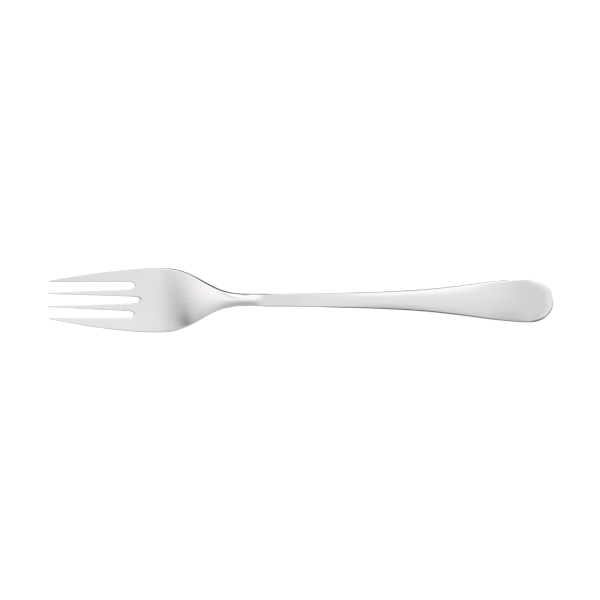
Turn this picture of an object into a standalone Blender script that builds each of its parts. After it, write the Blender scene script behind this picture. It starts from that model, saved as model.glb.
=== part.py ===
"""A four-tined fish fork of satin stainless steel, lying face up.

The real fork is one blank: stamped from strip, pierced between the tines, coined to a
varying thickness and bent. It is modelled in the same order. Each region of the blank is
a flat grid, doubled into a slab, pressed to shape and rounded along its edges.
Neighbouring regions share every curve, so they meet face to face.

Metres, +Z up. The tines point along -X and the handle along +X. The origin is on the
table, under the middle of the fork.
"""

import math

import bmesh
import bpy
from mathutils import Vector

# Lengths along the fork, one after another from the tips to the handle's end
TINE_LENGTH = 0.0309  # tips to the bottom of the two outer slots
PALM_LENGTH = 0.0066  # from there to the widest place of the head
SHOULDER_LENGTH = 0.0373  # from there to where the sides have drawn in to the neck
NECK_LENGTH = 0.0078  # the narrowest stretch
HANDLE_LENGTH = 0.0994  # from the neck to the very end
END_ROUNDING = 0.0089  # the last part of the handle, its rounded end
MIDDLE_SLOT_EXTRA = 0.0022  # how much deeper the middle slot runs than the outer two

# Widths across the fork
HEAD_WIDTH = 0.0233
TIP_SPAN = 0.0139  # over the outer sides of the outer tips
NECK_WIDTH = 0.0047
HANDLE_WIDTH = 0.0158
TIP_WIDTH = 0.0008  # every tine at its tip
INNER_TIP_OFFSET = 0.00235  # centreline to the middle of an inner tine, at the tip
MIDDLE_SLOT_WIDTH = 0.0023  # at the roots of the tines
INNER_TINE_WIDTH = 0.0029
OUTER_SLOT_WIDTH = 0.00235

# Thickness of the steel
TIP_THICKNESS = 0.0010
PALM_THICKNESS = 0.0020
SHOULDER_THICKNESS = 0.0030
NECK_THICKNESS = 0.00315
HANDLE_THICKNESS = 0.00295
END_THICKNESS = 0.0022

# Bending, as the height of the back of the fork over the table
NECK_RISE = 0.0109  # at the crest of the arch
BOWL_PAST_WIDEST = 0.0109  # from the widest place to where the bowl touches the table
CREST_PAST_SHOULDER = 0.0103  # from the shoulder side of the neck to the crest
BOWL_RADIUS = 0.058  # of the bend where the bowl touches the table
CREST_RADIUS = 0.210  # of the bend at the crest
TINE_SLOPE = 0.34  # the slope that the tines near towards their tips
REST_LENGTH = 0.007  # the level stretch at the end of the handle

# Coining of the front face: how far its edges lie above or below its middle
PALM_DISH = 0.0007
SHOULDER_CROWN = 0.0005
NECK_CROWN = 0.0013
HANDLE_CROWN = 0.0007
END_FALL = 0.00045  # how far the front face falls to the rim of the rounded end
END_RIM = 0.0018  # how far in from that rim the fall begins

# Rounding along the edges
EDGE_ROUND = 0.0004
TIP_EDGE_ROUND = 0.0002
TIP_POINT = 0.0003  # how far the middle of a tip stands out past its corners

# Places along the fork, as distances from the tips
ROOT = TINE_LENGTH
WIDEST = ROOT + PALM_LENGTH
MID_SHOULDER = WIDEST + SHOULDER_LENGTH / 2
DISH_END = WIDEST + 0.12 * SHOULDER_LENGTH  # past here the front face isn't dished
BOWL = WIDEST + BOWL_PAST_WIDEST
NECK_START = WIDEST + SHOULDER_LENGTH
NECK_END = NECK_START + NECK_LENGTH
LENGTH = NECK_END + HANDLE_LENGTH
END_START = LENGTH - END_ROUNDING
CREST = NECK_START + CREST_PAST_SHOULDER
REST_START = LENGTH - REST_LENGTH
OUTER_SLOT_TURN = ROOT - OUTER_SLOT_WIDTH / 2
MIDDLE_SLOT_END = ROOT + MIDDLE_SLOT_EXTRA
MIDDLE_SLOT_TURN = MIDDLE_SLOT_END - MIDDLE_SLOT_WIDTH / 2

# Seams between the regions
TINE_SEAM = OUTER_SLOT_TURN - OUTER_SLOT_WIDTH / 4
PALM_SEAM = WIDEST + 0.62 * SHOULDER_LENGTH
NECK_SEAM = CREST
SHANK_SEAM = (CREST + REST_START) / 2  # about where the arch turns from humped to hollow

# Shape of the outline where no size of its own says it
HEAD_BELLY = 1.6  # how full the sides of the head are, from the tips to the widest place
HANDLE_FLARE = ((0, 0), (0.34, 0.10), (0.56, 0.268), (0.72, 0.53), (0.88, 0.86), (1, 1))
SLOT_SQUARENESS = 3.5  # of the slots' ends: 2 is a half circle, more is squarer
END_SQUARENESS = 2.2  # of the rounded end: 2 is an ellipse
END_CORNER = math.radians(50)  # the grid's corner on the rounded end, from its widest place

SLOPE_STEP = 0.0002
FRONT = 1
STEEL_COLOUR = (0.78, 0.78, 0.775, 1.0)
STEEL_ROUGHNESS = 0.34

for old in list(bpy.data.objects):
    bpy.data.objects.remove(old, do_unlink=True)
fork = bpy.data.collections.new("fish_fork")
bpy.context.scene.collection.children.link(fork)
whole = bpy.data.objects.new("whole_fork", None)  # moves every part at once
whole.empty_display_size = 0.02
fork.objects.link(whole)


def blend(start, stop, share):
    return start + (stop - start) * share


def s_curve(share, order=1):
    """0 to 1 along an S-curve. A higher order leaves and arrives more gently."""
    s = min(max(share, 0.0), 1.0)
    terms = (
        math.comb(order + k, k) * math.comb(2 * order + 1, order - k) * (-s) ** k
        for k in range(order + 1)
    )
    return s ** (order + 1) * sum(terms)


def through(stations, place):
    """The value at a place on the smooth curve through (place, value) stations.

    Level at both ends and at every peak, so it never overshoots a station.
    """
    pairs = list(zip(stations, stations[1:]))
    rises = [(b[1] - a[1]) / (b[0] - a[0]) for a, b in pairs]
    slopes = [0.0]
    for before, after in zip(rises, rises[1:]):
        slopes.append(2 * before * after / (before + after) if before * after > 0 else 0.0)
    slopes.append(0.0)
    place = min(max(place, stations[0][0]), stations[-1][0])
    i = next(k for k, (a, b) in enumerate(pairs) if place <= b[0])
    (left, low), (right, high) = pairs[i]
    span = right - left
    s = (place - left) / span
    level = blend(low, high, s_curve(s))
    return level + span * s * (1 - s) * ((1 - s) * slopes[i] - s * slopes[i + 1])


def steps(start, stop, count):
    """count + 1 evenly spaced values from start to stop."""
    return [blend(start, stop, i / count) for i in range(count + 1)]


# The plan: the flat outline of the blank and its slots, x counted from the tips


def half_width(x):
    """From the centreline to the outline, up to where the rounded end begins."""
    if x <= WIDEST:
        belly = 1 - (1 - x / WIDEST) ** HEAD_BELLY
        return blend(TIP_SPAN, HEAD_WIDTH, belly) / 2
    if x <= NECK_END:
        drawn_in = s_curve((x - WIDEST) / SHOULDER_LENGTH, order=3)
        return blend(HEAD_WIDTH, NECK_WIDTH, drawn_in) / 2
    flare = through(HANDLE_FLARE, (x - NECK_END) / (END_START - NECK_END))
    return blend(NECK_WIDTH, HANDLE_WIDTH, flare) / 2


def head_lines(x):
    """Distances from the centreline to where the columns of the head's grid run.

    They are the centreline, the middle slot's edge, the outer slot's two edges and the
    outline. Past the slots they draw together with the outline.
    """
    tip = (
        INNER_TIP_OFFSET - TIP_WIDTH / 2,
        INNER_TIP_OFFSET + TIP_WIDTH / 2,
        TIP_SPAN / 2 - TIP_WIDTH,
    )
    inner_side = MIDDLE_SLOT_WIDTH / 2 + INNER_TINE_WIDTH
    root = (MIDDLE_SLOT_WIDTH / 2, inner_side, inner_side + OUTER_SLOT_WIDTH)
    share = min(x / ROOT, 1.0)
    scale = half_width(max(x, ROOT)) / half_width(ROOT)
    slot_edges = [scale * blend(a, b, share) for a, b in zip(tip, root)]
    return [0.0, *slot_edges, half_width(x)]


def slot_end(y, middle, radius):
    """How far the end of a slot reaches past its turn, at a distance from the centreline."""
    off = min(abs(y - middle) / radius, 1.0)
    return radius * (1 - off**SLOT_SQUARENESS) ** (1 / SLOT_SQUARENESS)


def head_plan(x, column):
    """A grid point of the head. Columns 1 to 2 and 3 to 4 are tines, the rest are slots.

    A row at the turn of a slot bulges along the slot's round end, and the row at the tips
    draws each tip out to a point.
    """
    lines = head_lines(x)
    lane = min(int(abs(column)), len(lines) - 2)
    share = abs(column) - lane
    y = blend(lines[lane], lines[lane + 1], share)
    bulge = 0.0
    if x == OUTER_SLOT_TURN and lane == 2:
        bulge = slot_end(y, (lines[2] + lines[3]) / 2, (lines[3] - lines[2]) / 2)
    if x == MIDDLE_SLOT_TURN and lane == 0:
        bulge = slot_end(y, 0.0, lines[1])
    if x == 0:
        bulge = TIP_POINT * (2 * share - 1) ** 2
    return x + bulge, math.copysign(y, column)


def end_curve(angle):
    """A point of the rounded end's outline: how far along the end, and out from the centreline.

    The angle is 0 where the end begins and a quarter turn at its tip.
    """
    power = 2 / END_SQUARENESS
    out = HANDLE_WIDTH / 2 * abs(math.cos(angle)) ** power
    return END_ROUNDING * math.sin(angle) ** power, math.copysign(out, math.cos(angle))


def handle_plan(x, column):
    """A grid point of the neck or handle. Columns run from -1 to 1 across.

    On the rounded end the rows turn from straight lines into the end's own arc.
    """
    if x <= END_START:
        return x, column * half_width(x)
    turn = (x - END_START) / END_ROUNDING
    corner_x, corner_y = end_curve(END_CORNER)
    side_x, side_y = end_curve(turn * END_CORNER)
    arc_x, arc_y = end_curve(math.pi / 2 - column * (math.pi / 2 - END_CORNER))
    y = blend(column * side_y, arc_y * side_y / corner_y, turn)
    return END_START + side_x + turn * (arc_x - corner_x), y


# The press: where a point of the flat blank ends up


def back_height(x):
    """Height of the back of the fork over the table, on the centreline.

    It has the set radii where it touches the table and at the crest, and eases off from there.
    """
    if x <= BOWL:
        bend = TINE_SLOPE * BOWL_RADIUS
        return TINE_SLOPE * (math.hypot(BOWL - x, bend) - bend)
    if x <= CREST:
        span = CREST - BOWL
        s = (x - BOWL) / span
        hollow = s**2 * (1 - s) ** 3 / BOWL_RADIUS
        hump = s**3 * (1 - s) ** 2 / CREST_RADIUS
        return NECK_RISE * s_curve(s, order=2) + span**2 / 2 * (hollow - hump)
    span = REST_START - CREST
    s = min((x - CREST) / span, 1.0)
    hump = s**2 * (1 - s) ** 3 / CREST_RADIUS
    return NECK_RISE * (1 - s_curve(s, order=2)) - span**2 / 2 * hump


def thickness(x):
    """Thickness of the steel on the centreline."""
    stations = (
        (0, TIP_THICKNESS),
        (WIDEST, PALM_THICKNESS),
        (MID_SHOULDER, SHOULDER_THICKNESS),
        (NECK_START, NECK_THICKNESS),
        (CREST, HANDLE_THICKNESS),
        (LENGTH, END_THICKNESS),
    )
    return through(stations, x)


def dish(x):
    """How far both faces rise from the centreline to the outline: the head is dished."""
    return PALM_DISH * (1 - s_curve((x - ROOT) / (DISH_END - ROOT)))


def crown(x):
    """How far the front face falls from the centreline to the outline."""
    stations = (
        (DISH_END, 0),
        (WIDEST + 0.40 * SHOULDER_LENGTH, SHOULDER_CROWN),
        (WIDEST + 0.66 * SHOULDER_LENGTH, SHOULDER_CROWN),
        (WIDEST + 0.95 * SHOULDER_LENGTH, NECK_CROWN),
        (NECK_START + 0.42 * NECK_LENGTH, 0),
        (NECK_END + 0.08 * HANDLE_LENGTH, 0),
        (NECK_END + 0.45 * HANDLE_LENGTH, HANDLE_CROWN),
        (NECK_END + 0.66 * HANDLE_LENGTH, HANDLE_CROWN),
        (REST_START, 0),
    )
    return through(stations, x)


def end_fall(x, y):
    """How far the front face falls near the rim of the handle's rounded end."""
    if x <= END_START:
        return 0.0
    past = x - END_START
    out_sum = (past / END_ROUNDING) ** END_SQUARENESS + abs(2 * y / HANDLE_WIDTH) ** END_SQUARENESS
    out = out_sum ** (1 / END_SQUARENESS)
    share = max(0.0, 1 - (1 - out) * END_ROUNDING / END_RIM)
    return END_FALL * share**2 * s_curve(past / END_RIM)


def pressed(x, y, face):
    """A point of the flat blank in its place on the finished fork.

    Each straight row across the blank stays in one plane, square to the bent centreline.
    """
    rise = back_height(x + SLOPE_STEP) - back_height(x - SLOPE_STEP)
    lean = math.atan2(rise, 2 * SLOPE_STEP)
    across = y / half_width(min(x, END_START))
    height = dish(x) * across**2
    if face == FRONT:
        height += thickness(x) - crown(x) * across**2 - end_fall(x, y)
    return Vector(
        (
            x - LENGTH / 2 - height * math.sin(lean),
            y,
            back_height(x) + height * math.cos(lean),
        )
    )


def edge_share(x):
    """The rounding of an edge as a share of EDGE_ROUND: finer towards the tips."""
    return blend(TIP_EDGE_ROUND / EDGE_ROUND, 1.0, min(x / ROOT, 1.0))


def steel(name):
    """A material of its own for one part, so that each can be recoloured alone."""
    material = bpy.data.materials.new(f"satin_steel_{name}")
    material.use_nodes = True
    shader = material.node_tree.nodes["Principled BSDF"]
    shader.inputs["Base Color"].default_value = STEEL_COLOUR
    shader.inputs["Metallic"].default_value = 1.0
    shader.inputs["Roughness"].default_value = STEEL_ROUGHNESS
    return material


def blank(rows, columns, plan, pierced):
    """The flat sheet of one region: a grid laid out by plan, without its pierced cells."""
    sheet = bmesh.new()
    along, over = len(rows) - 1, len(columns) - 1
    bmesh.ops.create_grid(sheet, x_segments=along, y_segments=over, size=0.5)
    waste = []
    for face in sheet.faces:
        middle = face.calc_center_median()
        row = int((middle.x + 0.5) * along)
        column = int((middle.y + 0.5) * over)
        centre = (columns[column] + columns[column + 1]) / 2
        if pierced(rows[row], abs(centre)):
            waste.append(face)
    bmesh.ops.delete(sheet, geom=waste, context="FACES")
    for vert in sheet.verts:
        row = rows[round((vert.co.x + 0.5) * along)]
        column = columns[round((vert.co.y + 0.5) * over)]
        vert.co = (*plan(row, column), 0)
    return sheet


def region(name, rows, columns, plan, seams=(), pierced=lambda x, column: False):
    """One named part: its blank doubled into a slab, pressed, and rounded along its edges.

    The walls that lie on a seam keep sharp edges, so that they fit their neighbour's.
    """
    slab = blank(rows, columns, plan, pierced)
    doubled = bmesh.ops.extrude_face_region(slab, geom=slab.faces[:])["geom"]
    for vert in doubled:
        if isinstance(vert, bmesh.types.BMVert):
            vert.co.z = FRONT
    bmesh.ops.recalc_face_normals(slab, faces=slab.faces)
    weight = slab.edges.layers.float.new("bevel_weight_edge")
    for wall in slab.faces:
        on_seam = any(all(abs(v.co.x - seam) < 1e-6 for v in wall.verts) for seam in seams)
        if abs(wall.normal.z) > 0.5 or on_seam:
            continue
        for edge in wall.edges:
            if edge.verts[0].co.z == edge.verts[1].co.z:
                edge[weight] = edge_share(edge.verts[0].co.x)
    for vert in slab.verts:
        vert.co = pressed(*vert.co)
    mesh = bpy.data.meshes.new(name)
    slab.to_mesh(mesh)
    slab.free()
    part = bpy.data.objects.new(name, mesh)
    part.parent = whole
    fork.objects.link(part)
    mesh.materials.append(steel(name))
    rounding = part.modifiers.new("Edge rounding", "BEVEL")
    rounding.limit_method = "WEIGHT"
    rounding.width = EDGE_ROUND
    rounding.segments = 2
    rounding.use_clamp_overlap = False
    mesh.shade_smooth()
    mesh.set_sharp_from_angle(angle=math.radians(40))
    return part


def tines():
    """Four tines, numbered from +Y to -Y."""
    rows = [0.0, *steps(2 * TIP_POINT, TINE_SEAM, 9)]
    lanes = ((3, 3.5, 4), (1, 1.5, 2), (-2, -1.5, -1), (-4, -3.5, -3))
    for number, columns in enumerate(lanes, 1):
        region(f"tine_{number}", rows, columns, head_plan, [TINE_SEAM])


def palm():
    """The plate that carries the tines, with the round ends of the three slots."""
    half = [0.0, 0.7, 1.0, 1.5, 2.0, 2.15, 2.5, 2.85, 3.0, 3.35, 3.7, 4.0]
    columns = [-c for c in reversed(half[1:])] + half
    rows = [
        TINE_SEAM,
        OUTER_SLOT_TURN,
        MIDDLE_SLOT_TURN,
        *steps(MIDDLE_SLOT_END + MIDDLE_SLOT_WIDTH / 2, PALM_SEAM, 11),
    ]

    def slots(x, column):
        outer = 2 < column < 3 and x < OUTER_SLOT_TURN
        middle = column < 1 and x < MIDDLE_SLOT_TURN
        return outer or middle

    region("palm", rows, columns, head_plan, [TINE_SEAM, PALM_SEAM], slots)


def neck():
    """The narrow end of the shoulder and the crowned stem."""
    rows = steps(PALM_SEAM, NECK_SEAM, 11)
    region("neck", rows, steps(-1, 1, 8), handle_plan, [PALM_SEAM, NECK_SEAM])


def shank():
    """The slender half of the handle, arched over the table."""
    rows = steps(NECK_SEAM, SHANK_SEAM, 12)
    region("shank", rows, steps(-1, 1, 8), handle_plan, [NECK_SEAM, SHANK_SEAM])


def handle():
    """The broad half of the handle. The back of its rounded end lies level on the table."""
    rows = [
        *steps(SHANK_SEAM, END_START, 12),
        *steps(END_START, LENGTH, 5)[1:],
    ]
    region("handle", rows, steps(-1, 1, 8), handle_plan, [SHANK_SEAM])


tines()
palm()
neck()
shank()
handle()
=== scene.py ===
"""Looks of the fish fork: satin stainless steel, face up on a white table, seen from above.

Metres, in the frame of the CAD: the tines point along -X, the handle along +X, +Z is up.
"""

import math

import bmesh
import bpy
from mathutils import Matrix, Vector


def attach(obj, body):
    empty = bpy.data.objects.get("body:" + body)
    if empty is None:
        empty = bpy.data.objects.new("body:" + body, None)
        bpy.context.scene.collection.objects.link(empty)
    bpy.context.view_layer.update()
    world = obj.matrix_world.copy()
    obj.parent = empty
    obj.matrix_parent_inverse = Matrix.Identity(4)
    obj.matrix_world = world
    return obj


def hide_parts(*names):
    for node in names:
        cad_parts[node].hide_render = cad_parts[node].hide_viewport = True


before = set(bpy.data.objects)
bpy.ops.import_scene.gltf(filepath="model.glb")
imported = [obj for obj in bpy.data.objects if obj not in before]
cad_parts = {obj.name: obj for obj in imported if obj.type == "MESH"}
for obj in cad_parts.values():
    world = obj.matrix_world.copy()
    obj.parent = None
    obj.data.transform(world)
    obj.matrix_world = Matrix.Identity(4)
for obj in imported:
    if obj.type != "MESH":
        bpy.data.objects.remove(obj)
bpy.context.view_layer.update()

# The fork
# One blank of stainless steel, stamped from strip with the three slots pierced out of it.
# It is coined thin at the tips and thick at the neck, bent, ground satin and edge-polished.

# Lengths along the fork, one after another from the tips to the handle's end
TINE_LENGTH = 0.0309
PALM_LENGTH = 0.0066
SHOULDER_LENGTH = 0.0373
NECK_LENGTH = 0.0078
HANDLE_LENGTH = 0.0994
END_ROUNDING = 0.0089
MIDDLE_SLOT_EXTRA = 0.0022

# Widths across the fork
HEAD_WIDTH = 0.0233
TIP_SPAN = 0.0139
NECK_WIDTH = 0.0047
HANDLE_WIDTH = 0.0158
TIP_WIDTH = 0.0008
INNER_TIP_OFFSET = 0.00235
MIDDLE_SLOT_WIDTH = 0.0023
INNER_TINE_WIDTH = 0.0029
OUTER_SLOT_WIDTH = 0.00235

# Thickness of the steel
TIP_THICKNESS = 0.0010
PALM_THICKNESS = 0.0020
SHOULDER_THICKNESS = 0.0030
NECK_THICKNESS = 0.00315
HANDLE_THICKNESS = 0.00295
END_THICKNESS = 0.0022

# Bending, as the height of the back of the fork over the table
NECK_RISE = 0.0109
BOWL_PAST_WIDEST = 0.0109
CREST_PAST_SHOULDER = 0.0103
BOWL_RADIUS = 0.058
CREST_RADIUS = 0.210
TINE_SLOPE = 0.34
REST_LENGTH = 0.007

# Coining of the front face: how far its edges lie above or below its middle
PALM_DISH = 0.0007
SHOULDER_CROWN = 0.0005
NECK_CROWN = 0.0013
HANDLE_CROWN = 0.0007
END_FALL = 0.00045
END_RIM = 0.0018

# Rounding along the edges
EDGE_ROUND = 0.0004
TIP_EDGE_ROUND = 0.0002
TIP_POINT = 0.0003

# Places along the fork, as distances from the tips
ROOT = TINE_LENGTH
WIDEST = ROOT + PALM_LENGTH
MID_SHOULDER = WIDEST + SHOULDER_LENGTH / 2
DISH_END = WIDEST + 0.12 * SHOULDER_LENGTH
BOWL = WIDEST + BOWL_PAST_WIDEST
NECK_START = WIDEST + SHOULDER_LENGTH
NECK_END = NECK_START + NECK_LENGTH
LENGTH = NECK_END + HANDLE_LENGTH
END_START = LENGTH - END_ROUNDING
CREST = NECK_START + CREST_PAST_SHOULDER
REST_START = LENGTH - REST_LENGTH
OUTER_SLOT_TURN = ROOT - OUTER_SLOT_WIDTH / 2
MIDDLE_SLOT_END = ROOT + MIDDLE_SLOT_EXTRA
MIDDLE_SLOT_TURN = MIDDLE_SLOT_END - MIDDLE_SLOT_WIDTH / 2

# Shape of the outline where no size of its own says it
HEAD_BELLY = 1.6
HANDLE_FLARE = ((0, 0), (0.34, 0.10), (0.56, 0.268), (0.72, 0.53), (0.88, 0.86), (1, 1))
SLOT_SQUARENESS = 3.5
END_SQUARENESS = 2.2
END_CORNER = math.radians(50)

# The grid that the blank is cut from: rows along it, and columns out from its centreline
TINE_ROWS = 14
SHOULDER_ROWS = 26
HANDLE_ROWS = 38
END_ROWS = 6
HALF_COLUMNS = (0.0, 0.7, 1.0, 1.5, 2.0, 2.15, 2.5, 2.85, 3.0, 3.35, 3.7, 4.0)

# Pressing: the height that marks the front of the flat slab, and the step for finding its lean
FRONT = 1
SLOPE_STEP = 0.0002

# Smoothing, and a hair under full size, so that it takes no edge past the box of the CAD
SMOOTHING_LEVELS = 2
INSIDE_CAD = 0.9999

# Finish of the steel: scales of its grain and of its cloudiness, its colours and roughness
GRAIN_SCALE = (90, 4200, 4200)
CLOUD_SCALE = (70, 210, 210)
STEEL_DARK = (0.757, 0.746, 0.750, 1)
STEEL_LIGHT = (0.807, 0.796, 0.800, 1)
SATIN_ROUGHNESS = 0.26
GRAIN_ROUGHNESS = 0.06
CLOUD_ROUGHNESS = 0.04
BUFFED_AWAY = 0.06
SCRATCH_STRENGTH = 0.025
SCRATCH_DEPTH = 0.0001

# Sockets of a Mix node that mixes colours
COLOUR_A = 6
COLOUR_B = 7
MIXED_COLOUR = 2


def blend(start, stop, share):
    return start + (stop - start) * share


def s_curve(share, order=1):
    """0 to 1 along an S-curve. A higher order leaves and arrives more gently."""
    s = min(max(share, 0.0), 1.0)
    terms = (
        math.comb(order + k, k) * math.comb(2 * order + 1, order - k) * (-s) ** k
        for k in range(order + 1)
    )
    return s ** (order + 1) * sum(terms)


def through(stations, place):
    """The value at a place on the smooth curve through (place, value) stations.

    Level at both ends and at every peak, so it never overshoots a station.
    """
    pairs = list(zip(stations, stations[1:]))
    rises = [(b[1] - a[1]) / (b[0] - a[0]) for a, b in pairs]
    slopes = [0.0]
    for before, after in zip(rises, rises[1:]):
        slopes.append(2 * before * after / (before + after) if before * after > 0 else 0.0)
    slopes.append(0.0)
    place = min(max(place, stations[0][0]), stations[-1][0])
    i = next(k for k, (a, b) in enumerate(pairs) if place <= b[0])
    (left, low), (right, high) = pairs[i]
    span = right - left
    s = (place - left) / span
    level = blend(low, high, s_curve(s))
    return level + span * s * (1 - s) * ((1 - s) * slopes[i] - s * slopes[i + 1])


def steps(start, stop, count):
    """count + 1 evenly spaced values from start to stop."""
    return [blend(start, stop, i / count) for i in range(count + 1)]


def half_width(x):
    """From the centreline to the outline, up to where the rounded end begins."""
    if x <= WIDEST:
        belly = 1 - (1 - x / WIDEST) ** HEAD_BELLY
        return blend(TIP_SPAN, HEAD_WIDTH, belly) / 2
    if x <= NECK_END:
        drawn_in = s_curve((x - WIDEST) / SHOULDER_LENGTH, order=3)
        return blend(HEAD_WIDTH, NECK_WIDTH, drawn_in) / 2
    flare = through(HANDLE_FLARE, (x - NECK_END) / (END_START - NECK_END))
    return blend(NECK_WIDTH, HANDLE_WIDTH, flare) / 2


def grid_lines(x):
    """Distances from the centreline to the edges of the slots and to the outline."""
    tip = (
        INNER_TIP_OFFSET - TIP_WIDTH / 2,
        INNER_TIP_OFFSET + TIP_WIDTH / 2,
        TIP_SPAN / 2 - TIP_WIDTH,
    )
    inner_side = MIDDLE_SLOT_WIDTH / 2 + INNER_TINE_WIDTH
    root = (MIDDLE_SLOT_WIDTH / 2, inner_side, inner_side + OUTER_SLOT_WIDTH)
    share = min(x / ROOT, 1.0)
    scale = half_width(max(x, ROOT)) / half_width(ROOT)
    slot_edges = [scale * blend(a, b, share) for a, b in zip(tip, root)]
    return [0.0, *slot_edges, half_width(x)]


def slot_end(y, middle, radius):
    """How far the end of a slot reaches past its turn, at a distance from the centreline."""
    off = min(abs(y - middle) / radius, 1.0)
    return radius * (1 - off**SLOT_SQUARENESS) ** (1 / SLOT_SQUARENESS)


def plan(x, column):
    """A point of the flat blank. Columns 1 to 2 and 3 to 4 are tines, the rest are slots."""
    lines = grid_lines(min(x, END_START))
    lane = min(int(abs(column)), len(lines) - 2)
    share = abs(column) - lane
    y = blend(lines[lane], lines[lane + 1], share)
    bulge = 0.0
    if x == OUTER_SLOT_TURN and lane == 2:
        bulge = slot_end(y, (lines[2] + lines[3]) / 2, (lines[3] - lines[2]) / 2)
    if x == MIDDLE_SLOT_TURN and lane == 0:
        bulge = slot_end(y, 0.0, lines[1])
    if x == 0:
        bulge = TIP_POINT * (2 * share - 1) ** 2
    y = math.copysign(y, column)
    if x > END_START:
        return rounded_end((x - END_START) / END_ROUNDING, y / lines[-1])
    return x + bulge, y


def end_curve(angle):
    """A point of the rounded end's outline: how far along the end, and out from the centreline.

    The angle is 0 where the end begins and a quarter turn at its tip.
    """
    power = 2 / END_SQUARENESS
    out = HANDLE_WIDTH / 2 * abs(math.cos(angle)) ** power
    return END_ROUNDING * math.sin(angle) ** power, math.copysign(out, math.cos(angle))


def rounded_end(turn, across):
    """A point of the handle's end, where the rows turn from straight lines into its arc."""
    corner_x, corner_y = end_curve(END_CORNER)
    side_x, side_y = end_curve(turn * END_CORNER)
    arc_x, arc_y = end_curve(math.pi / 2 - across * (math.pi / 2 - END_CORNER))
    y = blend(across * side_y, arc_y * side_y / corner_y, turn)
    return END_START + side_x + turn * (arc_x - corner_x), y


def back_height(x):
    """Height of the back of the fork over the table, on the centreline.

    It has the set radii where it touches the table and at the crest, and eases off from there.
    """
    if x <= BOWL:
        bend = TINE_SLOPE * BOWL_RADIUS
        return TINE_SLOPE * (math.hypot(BOWL - x, bend) - bend)
    if x <= CREST:
        span = CREST - BOWL
        s = (x - BOWL) / span
        hollow = s**2 * (1 - s) ** 3 / BOWL_RADIUS
        hump = s**3 * (1 - s) ** 2 / CREST_RADIUS
        return NECK_RISE * s_curve(s, order=2) + span**2 / 2 * (hollow - hump)
    span = REST_START - CREST
    s = min((x - CREST) / span, 1.0)
    hump = s**2 * (1 - s) ** 3 / CREST_RADIUS
    return NECK_RISE * (1 - s_curve(s, order=2)) - span**2 / 2 * hump


def thickness(x):
    """Thickness of the steel on the centreline."""
    stations = (
        (0, TIP_THICKNESS),
        (WIDEST, PALM_THICKNESS),
        (MID_SHOULDER, SHOULDER_THICKNESS),
        (NECK_START, NECK_THICKNESS),
        (CREST, HANDLE_THICKNESS),
        (LENGTH, END_THICKNESS),
    )
    return through(stations, x)


def dish(x):
    """How far both faces rise from the centreline to the outline: the head is dished."""
    return PALM_DISH * (1 - s_curve((x - ROOT) / (DISH_END - ROOT)))


def crown(x):
    """How far the front face falls from the centreline to the outline."""
    stations = (
        (DISH_END, 0),
        (WIDEST + 0.40 * SHOULDER_LENGTH, SHOULDER_CROWN),
        (WIDEST + 0.66 * SHOULDER_LENGTH, SHOULDER_CROWN),
        (WIDEST + 0.95 * SHOULDER_LENGTH, NECK_CROWN),
        (NECK_START + 0.42 * NECK_LENGTH, 0),
        (NECK_END + 0.08 * HANDLE_LENGTH, 0),
        (NECK_END + 0.45 * HANDLE_LENGTH, HANDLE_CROWN),
        (NECK_END + 0.66 * HANDLE_LENGTH, HANDLE_CROWN),
        (REST_START, 0),
    )
    return through(stations, x)


def end_fall(x, y):
    """How far the front face falls near the rim of the handle's rounded end."""
    if x <= END_START:
        return 0.0
    past = x - END_START
    out_sum = (past / END_ROUNDING) ** END_SQUARENESS + abs(2 * y / HANDLE_WIDTH) ** END_SQUARENESS
    out = out_sum ** (1 / END_SQUARENESS)
    share = max(0.0, 1 - (1 - out) * END_ROUNDING / END_RIM)
    return END_FALL * share**2 * s_curve(past / END_RIM)


def pressed(x, y, face):
    """A point of the flat blank in its place on the finished fork."""
    rise = back_height(x + SLOPE_STEP) - back_height(x - SLOPE_STEP)
    lean = math.atan2(rise, 2 * SLOPE_STEP)
    across = y / half_width(min(x, END_START))
    height = dish(x) * across**2
    if face == FRONT:
        height += thickness(x) - crown(x) * across**2 - end_fall(x, y)
    return Vector(
        (
            x - LENGTH / 2 - height * math.sin(lean),
            y,
            back_height(x) + height * math.cos(lean),
        )
    )


def edge_share(x):
    """The rounding of an edge as a share of EDGE_ROUND: finer towards the tips."""
    return blend(TIP_EDGE_ROUND / EDGE_ROUND, 1.0, min(x / ROOT, 1.0))


def pierced(x, column):
    """Whether a cell of the grid falls out of the blank as part of a slot."""
    outer = 2 < abs(column) < 3 and x < OUTER_SLOT_TURN
    middle = abs(column) < 1 and x < MIDDLE_SLOT_TURN
    return outer or middle


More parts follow.
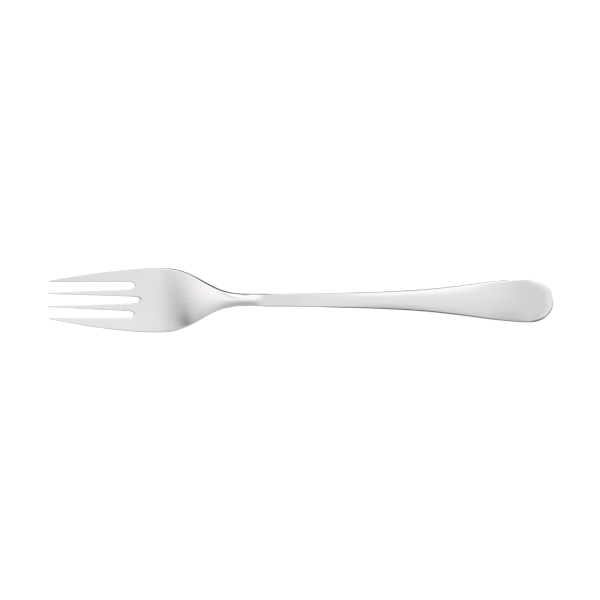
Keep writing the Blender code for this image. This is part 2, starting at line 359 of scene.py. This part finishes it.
def fork_mesh():
    """The blank as one grid, pierced, doubled into a slab and pressed to shape."""
    columns = [-c for c in reversed(HALF_COLUMNS[1:])] + list(HALF_COLUMNS)
    rows = [
        0.0,
        *steps(2 * TIP_POINT, OUTER_SLOT_TURN, TINE_ROWS),
        MIDDLE_SLOT_TURN,
        *steps(MIDDLE_SLOT_END + MIDDLE_SLOT_WIDTH / 2, NECK_END, SHOULDER_ROWS),
        *steps(NECK_END, END_START, HANDLE_ROWS)[1:],
        *steps(END_START, LENGTH, END_ROWS)[1:],
    ]
    slab = bmesh.new()
    along, over = len(rows) - 1, len(columns) - 1
    bmesh.ops.create_grid(slab, x_segments=along, y_segments=over, size=0.5)
    waste = []
    for face in slab.faces:
        middle = face.calc_center_median()
        column = int((middle.y + 0.5) * over)
        centre = (columns[column] + columns[column + 1]) / 2
        if pierced(rows[int((middle.x + 0.5) * along)], centre):
            waste.append(face)
    bmesh.ops.delete(slab, geom=waste, context="FACES")
    for vert in slab.verts:
        row = rows[round((vert.co.x + 0.5) * along)]
        column = columns[round((vert.co.y + 0.5) * over)]
        vert.co = (*plan(row, column), 0)
    doubled = bmesh.ops.extrude_face_region(slab, geom=slab.faces[:])["geom"]
    for vert in doubled:
        if isinstance(vert, bmesh.types.BMVert):
            vert.co.z = FRONT
    bmesh.ops.recalc_face_normals(slab, faces=slab.faces)
    weight = slab.edges.layers.float.new("bevel_weight_edge")
    rim = slab.verts.layers.float.new("rim")
    for wall in slab.faces:
        if abs(wall.normal.z) > 0.5:
            continue
        for edge in wall.edges:
            if edge.verts[0].co.z == edge.verts[1].co.z:
                edge[weight] = edge_share(edge.verts[0].co.x)
        for vert in wall.verts:
            vert[rim] = 1.0
    for vert in slab.verts:
        vert.co = INSIDE_CAD * pressed(*vert.co)
    mesh = bpy.data.meshes.new("fork")
    slab.to_mesh(mesh)
    slab.free()
    mesh.shade_smooth()
    return mesh


class Shade:
    """An output of a shader node. Sums and products of it add Math nodes to its tree."""

    def __init__(self, tree, socket=None):
        self.tree = tree
        self.socket = socket

    def node(self, kind, settings=None, inputs=None, output=0):
        """A new node: its settings are set first, then the values or links of its sockets."""
        made = self.tree.nodes.new(kind)
        for name, value in (settings or {}).items():
            setattr(made, name, value)
        for name, value in (inputs or {}).items():
            if isinstance(value, Shade):
                self.tree.links.new(value.socket, made.inputs[name])
            else:
                made.inputs[name].default_value = value
        return Shade(self.tree, made.outputs[output] if made.outputs else None)

    def maths(self, operation, first, second):
        return self.node("ShaderNodeMath", {"operation": operation}, {0: first, 1: second})

    def __add__(self, other):
        return self.maths("ADD", self, other)

    __radd__ = __add__

    def __mul__(self, other):
        return self.maths("MULTIPLY", self, other)

    __rmul__ = __mul__

    def __sub__(self, other):
        return self.maths("SUBTRACT", self, other)

    def __rsub__(self, other):
        return self.maths("SUBTRACT", other, self)


def satin_steel():
    """Ground lengthwise with a fine belt, so it shows a fine grain and soft reflections.

    The edges are buffed brighter than the faces.
    """
    material = bpy.data.materials.new("satin_steel")
    material.use_nodes = True
    material.node_tree.nodes.clear()
    steel = Shade(material.node_tree)
    place = steel.node("ShaderNodeTexCoord", output="Object")
    belt = steel.node("ShaderNodeMapping", {}, {"Vector": place, "Scale": GRAIN_SCALE})
    grain = steel.node("ShaderNodeTexNoise", {}, {"Vector": belt, "Scale": 1.0, "Detail": 3.0})
    patch = steel.node("ShaderNodeMapping", {}, {"Vector": place, "Scale": CLOUD_SCALE})
    cloud = steel.node("ShaderNodeTexNoise", {}, {"Vector": patch, "Scale": 1.0, "Detail": 2.0})
    rim = steel.node("ShaderNodeAttribute", {"attribute_name": "rim"}, output="Fac")
    buffed = steel.node(
        "ShaderNodeMapRange",
        {"interpolation_type": "SMOOTHSTEP"},
        {"Value": rim, "From Min": 0.6, "From Max": 1.0},
    )
    colour = steel.node(
        "ShaderNodeMix",
        {"data_type": "RGBA"},
        {
            "Factor": 0.6 * grain + 0.4 * cloud,
            COLOUR_A: STEEL_DARK,
            COLOUR_B: STEEL_LIGHT,
        },
        output=MIXED_COLOUR,
    )
    uneven = GRAIN_ROUGHNESS * (grain - 0.5)
    roughness = SATIN_ROUGHNESS + uneven + CLOUD_ROUGHNESS * (cloud - 0.5) - BUFFED_AWAY * buffed
    scratches = steel.node(
        "ShaderNodeBump",
        {},
        {"Height": grain, "Strength": SCRATCH_STRENGTH, "Distance": SCRATCH_DEPTH},
    )
    surface = steel.node(
        "ShaderNodeBsdfPrincipled",
        {},
        {"Base Color": colour, "Metallic": 1.0, "Roughness": roughness, "Normal": scratches},
    )
    steel.node("ShaderNodeOutputMaterial", {}, {"Surface": surface})
    return material


fork = bpy.data.objects.new("fork", fork_mesh())
bpy.context.scene.collection.objects.link(fork)
fork.data.materials.append(satin_steel())
rounding = fork.modifiers.new("Edge rounding", "BEVEL")
rounding.limit_method = "WEIGHT"
rounding.width = EDGE_ROUND
rounding.segments = 2
rounding.use_clamp_overlap = False
smoothing = fork.modifiers.new("Smoothing", "SUBSURF")
smoothing.levels = SMOOTHING_LEVELS
smoothing.render_levels = SMOOTHING_LEVELS
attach(fork, "root")
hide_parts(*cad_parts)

# The table
# A white board, wide enough to fill the picture. It shows plain white around the fork and
# keeps the fork's own soft shadow.
TABLE_SIZE = 3.0
TABLE_WHITE = (0.85, 0.85, 0.85, 1)
TABLE_GLOW = (0.6, 0.6, 0.6, 1)
BLACK = (0, 0, 0, 1)


def table_white():
    """Matt white, lifted to pure white where the camera or the steel sees it."""
    material = bpy.data.materials.new("table_white")
    material.use_nodes = True
    material.node_tree.nodes.clear()
    board = Shade(material.node_tree)
    seen = board.node("ShaderNodeLightPath", output="Is Camera Ray")
    mirrored = board.node("ShaderNodeLightPath", output="Is Glossy Ray")
    seen_through = board.node("ShaderNodeLightPath", output="Is Transmission Ray")
    glow = board.node(
        "ShaderNodeMix",
        {"data_type": "RGBA"},
        {"Factor": seen + mirrored + seen_through, COLOUR_A: BLACK, COLOUR_B: TABLE_GLOW},
        output=MIXED_COLOUR,
    )
    surface = board.node(
        "ShaderNodeBsdfPrincipled",
        {},
        {
            "Base Color": TABLE_WHITE,
            "Roughness": 0.9,
            "Specular IOR Level": 0.0,
            "Emission Color": glow,
            "Emission Strength": 1.0,
        },
    )
    board.node("ShaderNodeOutputMaterial", {}, {"Surface": surface})
    return material


board_mesh = bmesh.new()
bmesh.ops.create_grid(board_mesh, x_segments=1, y_segments=1, size=TABLE_SIZE / 2)
table = bpy.data.objects.new("table", bpy.data.meshes.new("table"))
board_mesh.to_mesh(table.data)
board_mesh.free()
table.data.materials.append(table_white())
bpy.context.scene.collection.objects.link(table)

# The cards
# Sheets of card that only the steel mirrors. The camera does not see them, and they cast no light
# or shadow: they are painted reflections. Some lie or stand by the fork, one hangs over it. Dark
# ones paint dark lines along its edges and a painted shade streak on the neck. White ones paint
# highlights on the near edge of the shoulder, the far side of the neck and, under the dark patch
# overhead, the crest.
CARD_CLEARANCE = 0.0001
DARK_REFLECTION = 0.12
BLACK_REFLECTION = 0.10
WHITE = (1, 1, 1, 1)


def painted_reflection_face(name, brightness):
    """A painted reflection, equally bright all over: 1 is white."""
    material = bpy.data.materials.new(name)
    material.use_nodes = True
    material.node_tree.nodes.clear()
    card = Shade(material.node_tree)
    surface = card.node("ShaderNodeEmission", {}, {"Color": WHITE, "Strength": brightness})
    card.node("ShaderNodeOutputMaterial", {}, {"Surface": surface})
    material.cycles.emission_sampling = "NONE"  # the card is mirrored, and is no lamp
    return material


def set_painted_reflection(name, brightness, left, right, front, back, low=CARD_CLEARANCE, rise=0.0):
    """A painted reflection with its front edge at the height low, and its back edge higher by the
    rise.

    It is level where it has no rise, and stands where its front and back are the same.
    """
    sheet = bmesh.new()
    ends = [sheet.verts.new((x, front, low)) for x in (left, right)]
    side = sheet.edges.new(ends)
    drawn = bmesh.ops.extrude_edge_only(sheet, edges=[side])["geom"]
    moved = [part for part in drawn if isinstance(part, bmesh.types.BMVert)]
    bmesh.ops.translate(sheet, vec=(0, back - front, rise), verts=moved)
    card = bpy.data.objects.new(name, bpy.data.meshes.new(name))
    sheet.to_mesh(card.data)
    sheet.free()
    card.data.materials.append(painted_reflection_face(name, brightness))
    card.visible_camera = False
    card.visible_diffuse = False
    card.visible_shadow = False
    bpy.context.scene.collection.objects.link(card)


# Dark sheets seen only in the steel: painted dark reflections that draw the lines along the far
# edges of the shoulder and neck.
set_painted_reflection("back_dark_reflection", DARK_REFLECTION, left=-0.050, right=0.074, front=0.0, back=0.06)
set_painted_reflection("shoulder_back_dark_reflection", DARK_REFLECTION, left=-0.043, right=-0.020, front=0.05, back=0.05, rise=0.06)
set_painted_reflection("neck_back_dark_reflection", DARK_REFLECTION, left=-0.020, right=-0.012, front=0.05, back=0.05, rise=0.025)
# A painted highlight on the far side of the neck, from a bright sheet seen only in the steel.
set_painted_reflection("neck_painted_highlight", 1.45, left=-0.076, right=-0.043, front=0.05, back=0.05, rise=0.075)
# Painted dark reflections: the line along the near edge of the handle, and the painted shade
# streak on the neck.
set_painted_reflection("handle_dark_reflection", BLACK_REFLECTION, left=-0.014, right=0.20, front=-0.05, back=0.0)
set_painted_reflection("handle_front_dark_reflection", BLACK_REFLECTION, left=0.012, right=0.20, front=-0.05, back=-0.05, rise=0.035)
set_painted_reflection("neck_dark_reflection", 0.20, left=-0.30, right=-0.030, front=-0.50, back=-0.024)
# Painted highlights on the near edge of the shoulder, and a grey painted reflection under the
# head.
set_painted_reflection("shoulder_painted_highlight", 1.25, left=-0.044, right=-0.020, front=-0.024, back=-0.002)
set_painted_reflection("shoulder_front_painted_highlight", 1.20, left=-0.040, right=-0.031, front=-0.018, back=-0.018, rise=0.009)
set_painted_reflection("head_grey_reflection", 0.45, left=-0.080, right=-0.044, front=-0.024, back=-0.004)
# A painted dark reflection at the ends of the slots.
set_painted_reflection("slot_dark_reflection", DARK_REFLECTION, left=-0.0605, right=-0.052, front=-0.009, back=0.009)
# A painted highlight on the crest, making up for the dark patch overhead.
set_painted_reflection("crest_painted_highlight", 0.89, left=-0.021, right=0.004, front=-0.010, back=0.010, low=0.05)

# The light tent
# White cloth all round and over the table, with lamps behind it at the back and on the left. It
# is darker where the camera hangs overhead, where its front is open, in the right front corner
# and along its hem at the back on the left.
CLOTH_LIGHT = 0.98
WARM_CLOTH = (1.0, 0.99, 0.972, 1)
COOL_CLOTH = (0.995, 1.005, 1.025, 1)


def light_tent():
    world = bpy.data.worlds.new("light_tent")
    world.use_nodes = True
    world.node_tree.nodes.clear()
    tent = Shade(world.node_tree)
    towards = tent.node("ShaderNodeTexCoord", output="Generated")

    def patch(right, back, reach):
        """1 in the middle of a patch of the tent, fading to 0 at reach degrees from it.

        The middle leans from straight overhead by so many degrees to the right and back, and
        the patch is even out to a fifth of its reach.
        """
        side, rear = math.radians(right), math.radians(back)
        middle = (
            math.sin(side) * math.cos(rear),
            math.sin(rear),
            math.cos(side) * math.cos(rear),
        )
        nearness = tent.node(
            "ShaderNodeVectorMath",
            {"operation": "DOT_PRODUCT"},
            {0: towards, 1: middle},
            output="Value",
        )
        return tent.node(
            "ShaderNodeMapRange",
            {"interpolation_type": "SMOOTHSTEP"},
            {
                "Value": nearness,
                "From Min": math.cos(math.radians(reach)),
                "From Max": math.cos(math.radians(reach / 5)),
            },
        )

    left_lamp = 0.33 * patch(right=-51, back=39, reach=51)
    back_lamp = 0.41 * patch(right=8, back=41, reach=30)
    camera_hole = 0.84 * patch(right=-5, back=-7.2, reach=9.8)
    camera_shade = 0.23 * patch(right=-15, back=-16, reach=20)
    front = 0.42 * patch(right=-35, back=-60, reach=63)
    corner = 0.20 * patch(right=46, back=-33, reach=25)
    hem = 0.57 * patch(right=-69, back=41, reach=30)
    lamps = left_lamp + back_lamp
    overhead = camera_hole + camera_shade
    light = CLOTH_LIGHT + lamps - overhead - front - corner - hem
    cloth = tent.node(
        "ShaderNodeMix",
        {"data_type": "RGBA"},
        {
            "Factor": patch(right=55, back=0, reach=55),
            COLOUR_A: WARM_CLOTH,
            COLOUR_B: COOL_CLOTH,
        },
        output=MIXED_COLOUR,
    )
    inside = tent.node("ShaderNodeBackground", {}, {"Color": cloth, "Strength": light})
    backdrop = tent.node("ShaderNodeBackground", {}, {"Color": WHITE, "Strength": 1.0})
    seen = tent.node("ShaderNodeLightPath", output="Is Camera Ray")
    sky = tent.node("ShaderNodeMixShader", {}, {0: seen, 1: inside, 2: backdrop})
    tent.node("ShaderNodeOutputWorld", {}, {"Surface": sky})
    return world


bpy.context.scene.world = light_tent()

# The camera
# Straight above the fork on a long lens, so that the fork shows as a plan.
CAMERA_HEIGHT = 2.5
PICTURE_WIDTH = 0.216
SENSOR_WIDTH = 0.036
CAMERA_OFFSET = (-0.0002, 0.00007)
PICTURE_TURN = math.radians(0.07)

lens = bpy.data.cameras.new("camera")
lens.sensor_width = SENSOR_WIDTH * 1000
lens.lens = lens.sensor_width * CAMERA_HEIGHT / PICTURE_WIDTH
camera = bpy.data.objects.new("camera", lens)
camera.location = (*CAMERA_OFFSET, CAMERA_HEIGHT)
camera.rotation_euler = (0, 0, PICTURE_TURN)
bpy.context.scene.collection.objects.link(camera)
bpy.context.scene.camera = camera
bpy.context.scene.view_settings.view_transform = "Standard"
